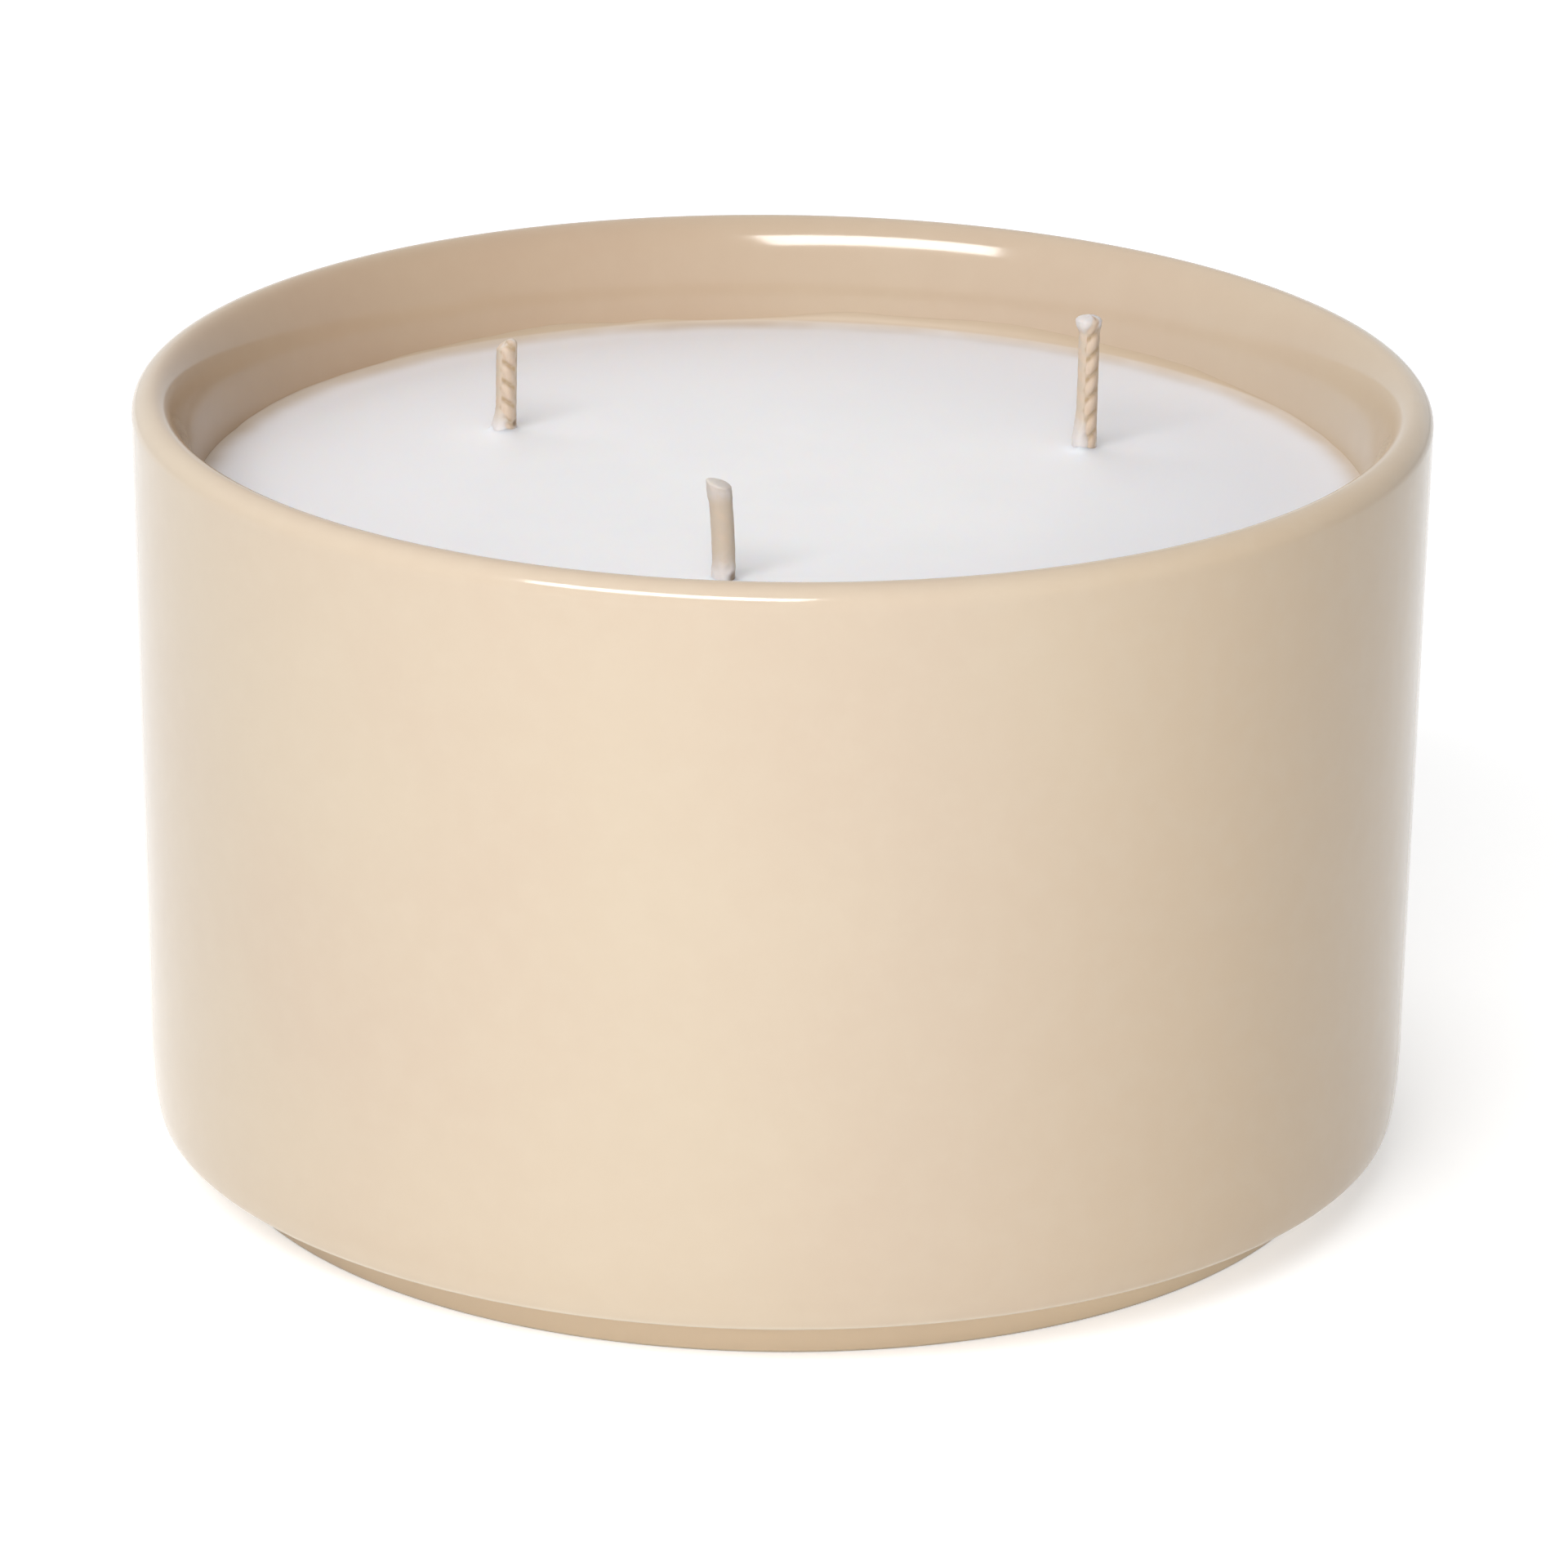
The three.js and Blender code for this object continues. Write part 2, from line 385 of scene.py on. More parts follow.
# painted highlight: the pale line of light along the lowest edge of the wall
painted_edge_highlight = (0.80, 0.71, 0.58, 1)
bare_clay = (0.66, 0.565, 0.44, 1)
drift = ease(tree, cloud(tree, where, 45 * mm), 0.35, 0.65)
mottle = ease(tree, cloud(tree, where, 3 * mm, 3.0), 0.35, 0.75)
body_colour = mixed(tree, drift, warm_beige, pink_beige)
out_over_lip = ease(tree, reach, lip_radius - 1.5 * mm, lip_radius + 1.6 * mm)
to_the_right = ease(tree, aside, 10 * mm, 50 * mm)
# painted shade on the right of the outside only
shade_on_right = calc(tree, "MULTIPLY", to_the_right, out_over_lip)
right_shaded = mixed(tree, shade_on_right, body_colour, shade_right_beige)
mottled = mixed(tree, calc(tree, "MULTIPLY", mottle, 0.18), right_shaded, thin_beige)
above_foot = ease(tree, height, foot_height + 1 * mm, floor_top - 1 * mm)
within = calc(tree, "MULTIPLY", calc(tree, "SUBTRACT", 1, out_over_lip), above_foot)
# painted shade darkens the inside, most of all on the left
inside_shade = mixed(tree, ease(tree, aside, -65 * mm, 45 * mm), shaded_inside_left, shaded_inside_right)
inside_shaded = mixed(tree, within, mottled, inside_shade, blend_type="MULTIPLY")
# painted highlight along the lowest edge of the wall
low_down = fade(tree, height, foot_height + 0.1 * mm, foot_height + 0.6 * mm)
far_out = ease(tree, reach, lower_radius - 2.2 * mm, lower_radius - 1.2 * mm)
edge_highlight = calc(tree, "MULTIPLY", calc(tree, "MULTIPLY", low_down, far_out), 0.7)
edge_highlighted = mixed(tree, edge_highlight, inside_shaded, painted_edge_highlight)
# painted light from the table on the foot ring's side, strongest on the right
on_foot = fade(tree, height, foot_height - 0.4 * mm, foot_height - 0.05 * mm)
foot_bounce_colour = mixed(tree, to_the_right, foot_bounce_lit, foot_bounce_lit_right)
foot_lit = mixed(tree, on_foot, edge_highlighted, foot_bounce_colour)
dry = fade(tree, height, 0.1 * mm, 0.4 * mm)
wire(tree, shader, {"Base Color": mixed(tree, dry, foot_lit, bare_clay)})
print("glaze colours from", tuple(warm_beige[:3]), "to", tuple(pink_beige[:3]))

# %% [markdown]
# The glaze's gloss.
#
# A melted glaze is nearly a mirror, with a slow ripple and a fine orange peel that bend the mirror
# images a little. The wiped foot is rough.

# %% The glaze's gloss
glossy = calc(tree, "ADD", 0.08, calc(tree, "MULTIPLY", cloud(tree, where, 6 * mm), 0.06))
rough = calc(tree, "MAXIMUM", glossy, calc(tree, "MULTIPLY", dry, 0.85))
ripple = cloud(tree, where, 9 * mm, 1.0)
peel = cloud(tree, where, 0.7 * mm)
relief = calc(tree, "ADD", ripple, calc(tree, "MULTIPLY", peel, 0.04))
wire(tree, shader, {"Roughness": rough, "IOR": 1.46, "Normal": bumps(tree, relief, 0.35, 0.05 * mm)})
print("glaze has", len(tree.nodes), "nodes")

# %% [markdown]
# The bowl.
#
# The bowl is one casting, so it is one mesh. Its half section runs from the middle of the underside
# out to the foot ring, up the wall, over the lip and down inside to the middle of the floor. Each
# round stretch is an arc or a short curve. The turn at the bottom of the wall is kept crisp and
# small, because the glaze draws a fine line of light there.


# %% Section helpers
def arc(centre, width, height, start, end, steps):
    """Points along an ellipse from one angle to another, in degrees."""
    angles = [radians(start + (end - start) * i / steps) for i in range(steps + 1)]
    return [(centre[0] + width * cos(a), centre[1] + height * sin(a)) for a in angles]


def round_off(centre, radius, start, end, steps):
    """An arc of a circle."""
    return arc(centre, radius, radius, start, end, steps)


def bend_through(start, corner, end, steps):
    """A curve that leaves start towards a corner and arrives at end from it."""
    points = []
    for i in range(steps + 1):
        t = i / steps
        blend = ((1 - t) ** 2, 2 * t * (1 - t), t ** 2)
        points.append(tuple(sum(b * p[k] for b, p in zip(blend, (start, corner, end))) for k in (0, 1)))
    return points


def spaced(start, end, count):
    """Points between two ends, without the ends."""
    return [
        tuple(start[k] + (end[k] - start[k]) * i / count for k in (0, 1))
        for i in range(1, count)
    ]


# %% The bowl
ring_inside = foot_radius - foot_ring_width
hollow_corner = 1.5 * mm
crease = 0.5 * mm
lower_arc = arc((lower_radius - edge_round_width, edge_top), edge_round_width, edge_round_height, -75, 0, 22)
slope = (lower_arc[1][0] - lower_arc[0][0]) / (lower_arc[1][1] - lower_arc[0][1])
corner_radius = lower_arc[0][0] - slope * (lower_arc[0][1] - foot_height)
lower_corner = (corner_radius, foot_height)
lower_turn = bend_through((corner_radius - edge_turn, foot_height), lower_corner, lower_arc[0], 8)
outer_lip = round_off((lip_radius, wall_top), lip_outer_round, 0, 90, 14)
inner_lip = arc((lip_radius, mouth_bottom), mouth_width, mouth_depth, 90, 180, 34)
corner_top = floor_top + corner_round
corner_reach = inside_radius(corner_top)
corner_centre = (corner_reach - corner_round, corner_top)
floor_corner = round_off(corner_centre, corner_round, 0, -90, 12)
bowl_section = [
    (0, foot_hollow),
    *spaced((0, foot_hollow), (ring_inside - hollow_corner, foot_hollow), 14),
    *bend_through(
        (ring_inside - hollow_corner, foot_hollow), (ring_inside, foot_hollow),
        (ring_inside, foot_hollow - hollow_corner), 6,
    ),
    *round_off((ring_inside + foot_edge_round, foot_edge_round), foot_edge_round, 180, 270, 6),
    *round_off((foot_radius - foot_edge_round, foot_edge_round), foot_edge_round, -90, 0, 8),
    *spaced((foot_radius, foot_edge_round), (foot_radius, foot_height - crease), 4),
    *bend_through(
        (foot_radius, foot_height - crease), (foot_radius, foot_height),
        (foot_radius + crease, foot_height), 5,
    ),
    *spaced((foot_radius + crease, foot_height), lower_turn[0], 4),
    *lower_turn,
    *lower_arc[1:],
    *spaced((lower_radius, edge_top), (rim_radius, wall_top), 34),
    *outer_lip,
    *inner_lip[1:],
    *spaced((inside_radius(mouth_bottom), mouth_bottom), (corner_reach, corner_top), 20),
    *floor_corner,
    *spaced((corner_reach - corner_round, floor_top), (0, floor_top), 12),
    (0, floor_top),
]
bowl = turn_piece(
    "glazed_bowl", bowl_section, glaze, sides=288, turning_radius=rim_radius, unevenness=0.12 * mm,
    wave_length=38 * mm, still_below=foot_height, still_within=lip_radius, seed=3.0,
)


def volume(piece):
    """Volume inside a closed mesh, which is positive when its faces point outwards."""
    piece.data.calc_loop_triangles()
    corners = [v.co for v in piece.data.vertices]
    faces = (t.vertices for t in piece.data.loop_triangles)
    return sum(corners[a].dot(corners[b].cross(corners[c])) for a, b, c in faces) / 6


print(f"the bowl holds {volume(bowl) * 1e6:.1f} cubic centimetres of clay")

# %% [markdown]
# The wax material.
#
# Poured wax is white and slightly translucent: light goes in, scatters a few millimetres and comes
# out again, which softens every small shadow on it. Subsurface scattering does that. Painted shade
# dulls the white towards the wall, most of all on the right. Where the wax creeps up the wall it thins
# to a film and the beige of the glaze shows through, so the colour moves towards the glaze with the
# height above the level wax. The level wax near the wall also moves towards that beige with the
# distance from the axis: painted light, the beige that the wall throws back, and painted shade from
# the wall. A film has no depth for light to scatter in, so the scattering fades out before the wall.
# The surface is satin, with a faint relief from the way that it set.

# %% The wax material
wax_white, tree, shader = new_material("wax")
where = put(tree, "ShaderNodeTexCoord").outputs["Object"]
reach = from_axis(tree, where)
clean_white = (0.90, 0.89, 0.90, 1)
cool_white = (0.875, 0.87, 0.885, 1)
# painted shade: the white dulled towards the wall, most of all on the right
wall_shade_left = (0.855, 0.84, 0.86, 1)
wall_shade_right = (0.75, 0.75, 0.785, 1)
# the glaze's beige through the film, and also painted light and shade from the wall on the level wax near it
film_and_bounce_beige = (0.515, 0.40, 0.28, 1)
film_start = inside_radius(wax_level) - 5 * mm
film_end = inside_radius(wax_level) + 0.3 * mm
setting = ease(tree, cloud(tree, where, 16 * mm), 0.3, 0.7)
middle_colour = mixed(tree, setting, clean_white, cool_white)
aside, _, height = parts_of(tree, where)
# painted shade towards the wall
wall_shade_colour = mixed(tree, ease(tree, aside, -60 * mm, 60 * mm), wall_shade_left, wall_shade_right)
surface_colour = mixed(tree, ease(tree, reach, 15 * mm, 55 * mm), middle_colour, wall_shade_colour)
# painted light and shade: the beige that the wall throws back, and its shade, on the level wax near the wall
wobble = calc(tree, "MULTIPLY", calc(tree, "SUBTRACT", cloud(tree, where, 7 * mm), 0.5), 2 * mm)
wall_bounce_ramp = calc(tree, "POWER", ease(tree, calc(tree, "ADD", reach, wobble), film_start, film_end), 2.4)
wall_bounce_and_shade = calc(tree, "MULTIPLY", wall_bounce_ramp, 0.85)
up_wall = ease(tree, height, wax_level, wax_level + 0.6 * mm)
film_and_wall_bounce = calc(tree, "MAXIMUM", wall_bounce_and_shade, up_wall)
film_and_bounce_share = calc(tree, "MULTIPLY", film_and_wall_bounce, ease(tree, reach, film_start, film_end))
solid = fade(tree, reach, film_start, film_end - 2 * mm)
pits = calc(tree, "MULTIPLY", cloud(tree, where, 0.8 * mm), 0.1)
grain = calc(tree, "ADD", cloud(tree, where, 5 * mm), pits)
wire(tree, shader, {
    "Base Color": mixed(tree, film_and_bounce_share, surface_colour, film_and_bounce_beige),
    "Subsurface Weight": calc(tree, "MULTIPLY", solid, 0.6),
    "Subsurface Radius": (1.0, 0.8, 0.65),
    "Subsurface Scale": 2.5 * mm,
    "Roughness": 0.5,
    "IOR": 1.44,
    "Normal": bumps(tree, grain, 0.4, 0.06 * mm),
})
print("wax has", len(tree.nodes), "nodes")

# %% [markdown]
# The wax.
#
# The wax is turned like the bowl, a hair inside the wall. Its half section goes along the floor, up
# the wall to the top of the film, down the inner face of the film, and back to the axis in close
# rings, so that there are points enough to shape.

# %% The wax body
wax_clearance = 0.005 * mm
film_depth = 1.8 * mm
film_thickness = 0.03 * mm


def wall(z):
    """Radius of the wax where it meets the bowl's wall."""
    return inside_radius(z) - wax_clearance


film_top = wax_level + wax_edge_rise
film_inside = wall(film_top) - film_thickness
under_centre = (corner_centre[0] - wax_clearance, corner_top)
under_corner = round_off(under_centre, corner_round, -90, 0, 12)
wax_floor = floor_top + wax_clearance
wax_section = [
    (0, wax_floor),
    *spaced((0, wax_floor), (under_corner[0][0], wax_floor), 12),
    *[(r, max(z, wax_floor)) for r, z in under_corner],
    *spaced((wall(corner_top), corner_top), (wall(mouth_bottom), mouth_bottom), 20),
    *[(wall(z), z) for z in (mouth_bottom, wax_level, wax_level + 0.3 * mm, film_top)],
    *bend_through(
        (film_inside, film_top), (film_inside - 0.1 * mm, wax_level),
        (film_inside - film_depth, wax_level), 12,
    ),
    *spaced((film_inside - film_depth, wax_level), (0, wax_level), 90),
    (0, wax_level),
]
wax = turn_piece("poured_wax", wax_section, wax_white, sides=360, turning_radius=rim_radius)

# %% [markdown]
# The top of the wax.
#
# The top is shaped point by point. The faces near a wick are first cut finer. The film on the wall
# rises and falls as it goes round: it is highest at the back, where hot wax ran up the wall, and
# lowest at both sides. It never dips to the level wax, because the mesh would then cross itself.
# Round each wick the wax is drawn up in a low mound and, close to the cotton, in a small meniscus
# that is highest on its left. A drip lies at the foot of the left and the right wick, on the front left.

# %% The top of the wax
bore = 1.1 * mm
fine_reach = 4 * mm
fine_cuts = 3
creep_height = 0.5 * mm
creep_reach = 0.4 * mm
creep_side = radians(200)
# each swell of the film has its bearing and width in degrees, and between them its height in mm
film_swells = (
    (65, 1.2, 13), (83, 0.8, 7), (115, 0.7, 6), (103, 0.35, 3), (127, 0.4, 6), (45, 0.6, 9), (178, -1.3, 13),
    (4, -1.0, 13),
)
lowest_rise = 0.15
mound_height = 0.3 * mm
mound_radius = 3.2 * mm
# each drip has its place from the wick, to the right and to the back, its height and its width, in mm
drips = (("right", -0.7, -1.3, 0.3, 0.7), ("left", -1.5, -0.5, 0.25, 0.4))
undulation = 0.08 * mm
undulation_length = 22 * mm
on_top = wax_level - 1e-5


def film_rise(bearing):
    """Height of the film above the level wax at a bearing in degrees."""
    around = Vector((cos(radians(bearing)), sin(radians(bearing)), 0.3))
    rise = 0.5 + 0.15 * noise.noise(around * 7) + 0.09 * noise.noise(around * 17)
    for centre, height, spread in film_swells:
        away = (bearing - centre + 180) % 360 - 180
        rise += height * exp(-((away / spread) ** 2))
    return max(rise, lowest_rise) * mm


def near_wick(vertex):
    """Whether a vertex lies on the wax's top, close to a wick."""
    x, y, z = vertex.co
    return z > on_top and any(
        hypot(x - wick["x"], y - wick["y"]) < fine_reach for wick in wick_places.values()
    )


finer = bmesh.new()
finer.from_mesh(wax.data)
near_edges = [edge for edge in finer.edges if all(near_wick(v) for v in edge.verts)]
bmesh.ops.subdivide_edges(finer, edges=near_edges, cuts=fine_cuts, use_grid_fill=True)
finer.to_mesh(wax.data)
finer.free()
for vertex in wax.data.vertices:
    x, y, z = vertex.co
    if z < on_top:
        continue
    reach = hypot(x, y)
    lift = max(z - wax_level, 0) / wax_edge_rise
    level_radius = inside_radius(z)
    z = wax_level + lift * film_rise(atan2(y, x) * 180 / pi)
    spread = 1 + lift * (inside_radius(z) - level_radius) / max(reach, mm)
    calm = min(max((film_inside - film_depth - reach) / (4 * mm), 0), 1)
    z += undulation * noise.noise(Vector((x, y, 0)) / undulation_length) * calm
    for wick in wick_places.values():
        away = hypot(x - wick["x"], y - wick["y"])
        z += mound_height * exp(-((away / mound_radius) ** 2))
        facing = 0.5 + 0.5 * cos(atan2(y - wick["y"], x - wick["x"]) - creep_side)
        z += creep_height * (0.25 + 0.75 * facing**2) * exp(-max(away - bore, 0) / creep_reach)
    for side, aside, back, rise, size in drips:
        away = hypot(x - wick_places[side]["x"] - aside * mm, y - wick_places[side]["y"] - back * mm)
        z += rise * mm * exp(-((away / (size * mm)) ** 2))
    vertex.co = (x * spread, y * spread, z)
top_of_wax = max(v.co.z for v in wax.data.vertices)
print(f"the wax reaches {top_of_wax / mm:.2f} mm, {volume(wax) * 1e6:.0f} cubic centimetres")

# %% [markdown]
# The sustainers and the glue dots.
#
# Nobody sees these under the wax, but the candle can't be poured without them. A sustainer is a tin
# disc pressed from sheet, with rounded edges and a neck drawn up from its middle. The neck is
# crimped in three places to grip the wick. A dot of hot-melt glue, squeezed flat, holds it to the
# floor. Both are turned with the same tree and then moved to their place.

# %% Tin and glue
tin, tree, shader = new_material("tinplate")
where = put(tree, "ShaderNodeTexCoord").outputs["Object"]
rolled = put(tree, "ShaderNodeMapping", {"Vector": where, "Scale": (1, 30, 1)}).outputs[0]
grain = cloud(tree, rolled, 3 * mm, 4.0)
wire(tree, shader, {
    "Metallic": 1.0,
    "Base Color": mixed(tree, grain, (0.60, 0.61, 0.62, 1), (0.72, 0.72, 0.71, 1)),
    "Roughness": calc(tree, "ADD", 0.26, calc(tree, "MULTIPLY", grain, 0.2)),
    "Normal": bumps(tree, grain, 0.2, 0.02 * mm),
})

glue, tree, shader = new_material("set_glue")
where = put(tree, "ShaderNodeTexCoord").outputs["Object"]
haze = cloud(tree, where, 2 * mm, 3.0)
wire(tree, shader, {
    "Base Color": mixed(tree, haze, (0.80, 0.77, 0.66, 1), (0.88, 0.86, 0.78, 1)),
    "Roughness": 0.4,
    "Subsurface Weight": 0.4,
    "Subsurface Radius": (1.0, 0.9, 0.7),
    "Subsurface Scale": 1 * mm,
    "Normal": bumps(tree, haze, 0.2, 0.05 * mm),
})
print("tin and glue are ready")

# %% Sustainers and glue dots
neck_gap = 0.3 * mm
neck_wall = 0.35 * mm
crimp_depth = 0.2 * mm
plate_low, plate_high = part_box("sustainer_left")
dot_low, dot_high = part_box("glue_dot_left")
plate_radius = (plate_high.x - plate_low.x) / 2
plate_under = plate_low.z
plate_top = plate_under + sustainer_thickness
neck_top = plate_high.z
neck_inside = wick_places["left"]["radius"] + neck_gap
neck_outside = neck_inside + neck_wall
rolled_edge = sustainer_thickness / 2
drawn_fillet = 0.5 * mm
plate_section = [
    (neck_inside, plate_under),
    *spaced((neck_inside, plate_under), (plate_radius - rolled_edge, plate_under), 10),
    *round_off((plate_radius - rolled_edge, plate_under + rolled_edge), rolled_edge, -90, 90, 8),
    *spaced((plate_radius - rolled_edge, plate_top), (neck_outside + drawn_fillet, plate_top), 10),
    *bend_through(
        (neck_outside + drawn_fillet, plate_top), (neck_outside, plate_top),
        (neck_outside, plate_top + drawn_fillet), 6,
    ),
    *spaced((neck_outside, plate_top + drawn_fillet), (neck_outside, neck_top - neck_wall / 2), 14),
    *round_off((neck_outside - neck_wall / 2, neck_top - neck_wall / 2), neck_wall / 2, 0, 180, 8),
    *spaced((neck_inside, neck_top - neck_wall / 2), (neck_inside, plate_under), 16),
]
dot_radius = (dot_high.x - dot_low.x) / 2
dot_under = dot_low.z
dot_top = dot_high.z
bulge = (dot_top - dot_under) / 2
dot_section = [
    (0, dot_under),
    *spaced((0, dot_under), (dot_radius - bulge, dot_under), 8),
    *round_off((dot_radius - bulge, dot_under + bulge), bulge, -90, 90, 10),
    *spaced((dot_radius - bulge, dot_top), (0, dot_top), 8),
    (0, dot_top),
]


def crimp(piece):
    """Presses three flutes into the neck, half way up, so that it grips the wick."""
    for vertex in piece.data.vertices:
        x, y, z = vertex.co
        along = (z - plate_top) / (neck_top - plate_top)
        if not 0 < along < 1:
            continue
        flute = max(cos(3 * atan2(y, x)), 0) ** 2 * sin(pi * along) ** 2
        squeeze = 1 - crimp_depth * flute / hypot(x, y)
        vertex.co = (x * squeeze, y * squeeze, z)


def stand_at(piece, spot):
    """Moves a piece made on the axis to a wick's place, with the move kept in its mesh."""
    piece.data.transform(Matrix.Translation((spot["x"], spot["y"], 0)))


plates, dots = {}, {}
for number, side in enumerate(sides):
    plates[side] = turn_piece(
        "tin_sustainer_" + side, plate_section, tin, closed=True, sides=96, turning_radius=plate_radius,
        seed=11.0 + number,
    )
    crimp(plates[side])
    dots[side] = turn_piece(
        "glue_blob_" + side, dot_section, glue, sides=72, turning_radius=plate_radius,
        unevenness=0.5 * mm, wave_length=6 * mm, still_below=dot_under, seed=11.0 + number,
    )
    for piece in (plates[side], dots[side]):
        stand_at(piece, wick_places[side])

# %% [markdown]
# Room in the wax.
#
# The wax set round the sustainers, the glue and the wicks, so it has a hollow of their shape. A
# turned plug stands for that space, and a Boolean modifier cuts it from the wax at each place. The
# bore is a hair wider than the wick, because the wax wets the cotton and leaves no gap to see.

# %% Room in the wax
room = 0.05 * mm
plug_top = wax_level + 3 * mm
plug_section = [
    (0, floor_top - room),
    (plate_radius + room, floor_top - room),
    (plate_radius + room, plate_top + room),
    (neck_outside + drawn_fillet + room, plate_top + room),
    (neck_outside + room, plate_top + drawn_fillet + room),
    (neck_outside + room, neck_top + room),
    (bore, neck_top + room),
    (bore, plug_top),
    (0, plug_top),
]
for side in sides:
    plug = turn_piece("plug", plug_section, sides=64, turning_radius=plate_radius)
    stand_at(plug, wick_places[side])
    cutter = wax.modifiers.new("Cut", "BOOLEAN")
    cutter.object = plug
    cutter.solver = "EXACT"
    keep_result(wax, cutter)
    bpy.data.objects.remove(plug)
print("the bored wax has", len(wax.data.polygons), "faces")

# %% [markdown]
# The wick tree.
#
# These are square-braided cotton wicks: two pairs of strands wind in opposite directions, and each
# strand goes over at one corner and under at the next, so that a wick shows slanting stitches that
# lean one way or the other with the corner that faces you. Wax fills the grooves and rounds the
# stitches, so the tree sweeps one round skin along the wick's route and moves each point to the
# outer of two strand surfaces and a wax skin. The skin is thick on one side, at the tip and at the
# foot, where it stands out in a collar on the side that drew up the most wax. Noise makes it lumpy
# there and pits the cut end. How bare the cotton is, how deep in a groove, how waxy an end and how
# deep in a nick is stored on the points for the material to read.

# %% The wick tree
wick_tree, given = geometry_tree(
    "Braided wick",
    "Route",
    {
        "Sides": 96, "Wick Radius": 1.08 * mm, "Lead": 4.4 * mm, "Turn": 0.0, "Rise": 0.0,
        "Swing": 0.08 * mm, "Stitch Depth": 0.26 * mm, "Wax Skin": 0.84 * mm, "Flooding": 0.22 * mm,
        "Flood Side": pi, "Flood Reach": 0.5, "Wax Level": 0.069, "Top": 0.08, "Collar": 0.6 * mm,
        "Collar Height": 1.4 * mm, "Collar Side": radians(200), "Tip Wax": 0.1 * mm,
        "Tip Length": 1.2 * mm, "Tip Round": 0.3 * mm, "Tip Slope": 0.0, "Tip Flare": 0.0,
        "Tip White": 0.55, "Tip Rough": 0.0, "Dent Centre": (0.0, 0.0, 0.0), "Dent Size": 0.7 * mm,
        "Dent Depth": 0.3 * mm, "Seed": 0.0,
    },
)
lump_length = 1.2 * mm
lump_height = 0.1 * mm
end_lump_height = 0.35 * mm
pit_length = 1.1 * mm
slope_reach = 1.5 * mm
collar_depth = 0.7 * mm
strand_blend = 0.03 * mm
skin_blend = 0.06 * mm

node = partial(put, wick_tree)
vectors = partial(vector_calc, wick_tree)
sum_of = partial(calc, wick_tree, "ADD")
less = partial(calc, wick_tree, "SUBTRACT")
times = partial(calc, wick_tree, "MULTIPLY")
over = partial(calc, wick_tree, "DIVIDE")
larger = partial(calc, wick_tree, "MAXIMUM")
cosine = partial(calc, wick_tree, "COSINE")
step_up = partial(ease, wick_tree)

route = node("GeometryNodeMeshToCurve", {0: given["Route"]}).outputs[0]
point = node("GeometryNodeInputPosition").outputs[0]
keep_route = node("GeometryNodeCaptureAttribute", {"Geometry": route})
keep_route.capture_items.new("VECTOR", "Route Point")
wire(wick_tree, keep_route, {"Route Point": point})
ring = {"Resolution": given["Sides"], "Radius": given["Wick Radius"]}
hoop = node("GeometryNodeCurvePrimitiveCircle", ring).outputs[0]
swept = {"Curve": keep_route.outputs["Geometry"], "Profile Curve": hoop, "Fill Caps": True}
skin = node("GeometryNodeCurveToMesh", swept).outputs[0]
route_point = keep_route.outputs["Route Point"]
outward = vectors("NORMALIZE", vectors("SUBTRACT", point, route_point))
out_parts = parts_of(wick_tree, outward)
angle = calc(wick_tree, "ARCTAN2", out_parts["Y"], out_parts["X"])
height = parts_of(wick_tree, route_point)["Z"]
wind = times(over(less(height, given["Rise"]), given["Lead"]), 2 * pi)
corner = cosine(times(less(angle, given["Turn"]), 2))


def strands(hand):
    """Radius of the pair of strands that winds one way, and how high on its stitch a point is."""
    across = less(less(angle, given["Turn"]), times(wind, hand))
    crown = calc(wick_tree, "ABSOLUTE", cosine(across))
    reach = sum_of(times(corner, times(given["Swing"], hand)), times(crown, given["Stitch Depth"]))
    return sum_of(reach, less(given["Wick Radius"], sum_of(given["Swing"], given["Stitch Depth"]))), crown


first_pair, first_crown = strands(1)
second_pair, second_crown = strands(-1)
braid = calc(wick_tree, "SMOOTH_MAX", first_pair, second_pair, strand_blend)

toward_flood = cosine(less(angle, given["Flood Side"]))
flood = step_up(toward_flood, less(given["Flood Reach"], 0.25), sum_of(given["Flood Reach"], 0.25))
lumps = node(
    "ShaderNodeTexNoise",
    {"Vector": point, "W": given["Seed"], "Scale": 1 / lump_length, "Detail": 2.0},
    noise_dimensions="4D",
).outputs["Fac"]
above = less(height, given["Wax Level"])
below_top = less(given["Top"], height)
toward_collar = cosine(less(angle, given["Collar Side"]))
collar_share = step_up(toward_collar, -0.4, 1)
collar_height = times(given["Collar Height"], sum_of(sum_of(0.2, times(collar_share, 0.9)), lumps))
low = less(1, over(above, collar_height, clamp=True))
shows = calc(wick_tree, "GREATER_THAN", above, -collar_depth)
collar_width = times(given["Collar"], sum_of(0.15, times(collar_share, 0.85)))
collar = times(times(calc(wick_tree, "POWER", low, 1.5), collar_width), shows)
tip = less(1, step_up(below_top, times(given["Tip Length"], 0.4), given["Tip Length"]))
skin_radius = sum_of(given["Wax Skin"], times(flood, given["Flooding"]))
lumpiness = sum_of(lump_height, times(larger(tip, low), end_lump_height))
skin_radius = sum_of(skin_radius, times(less(lumps, 0.5), lumpiness))
skin_radius = sum_of(skin_radius, times(tip, given["Tip Wax"]))
skin_radius = sum_of(skin_radius, collar)
surface = calc(wick_tree, "SMOOTH_MAX", braid, skin_radius, skin_blend)

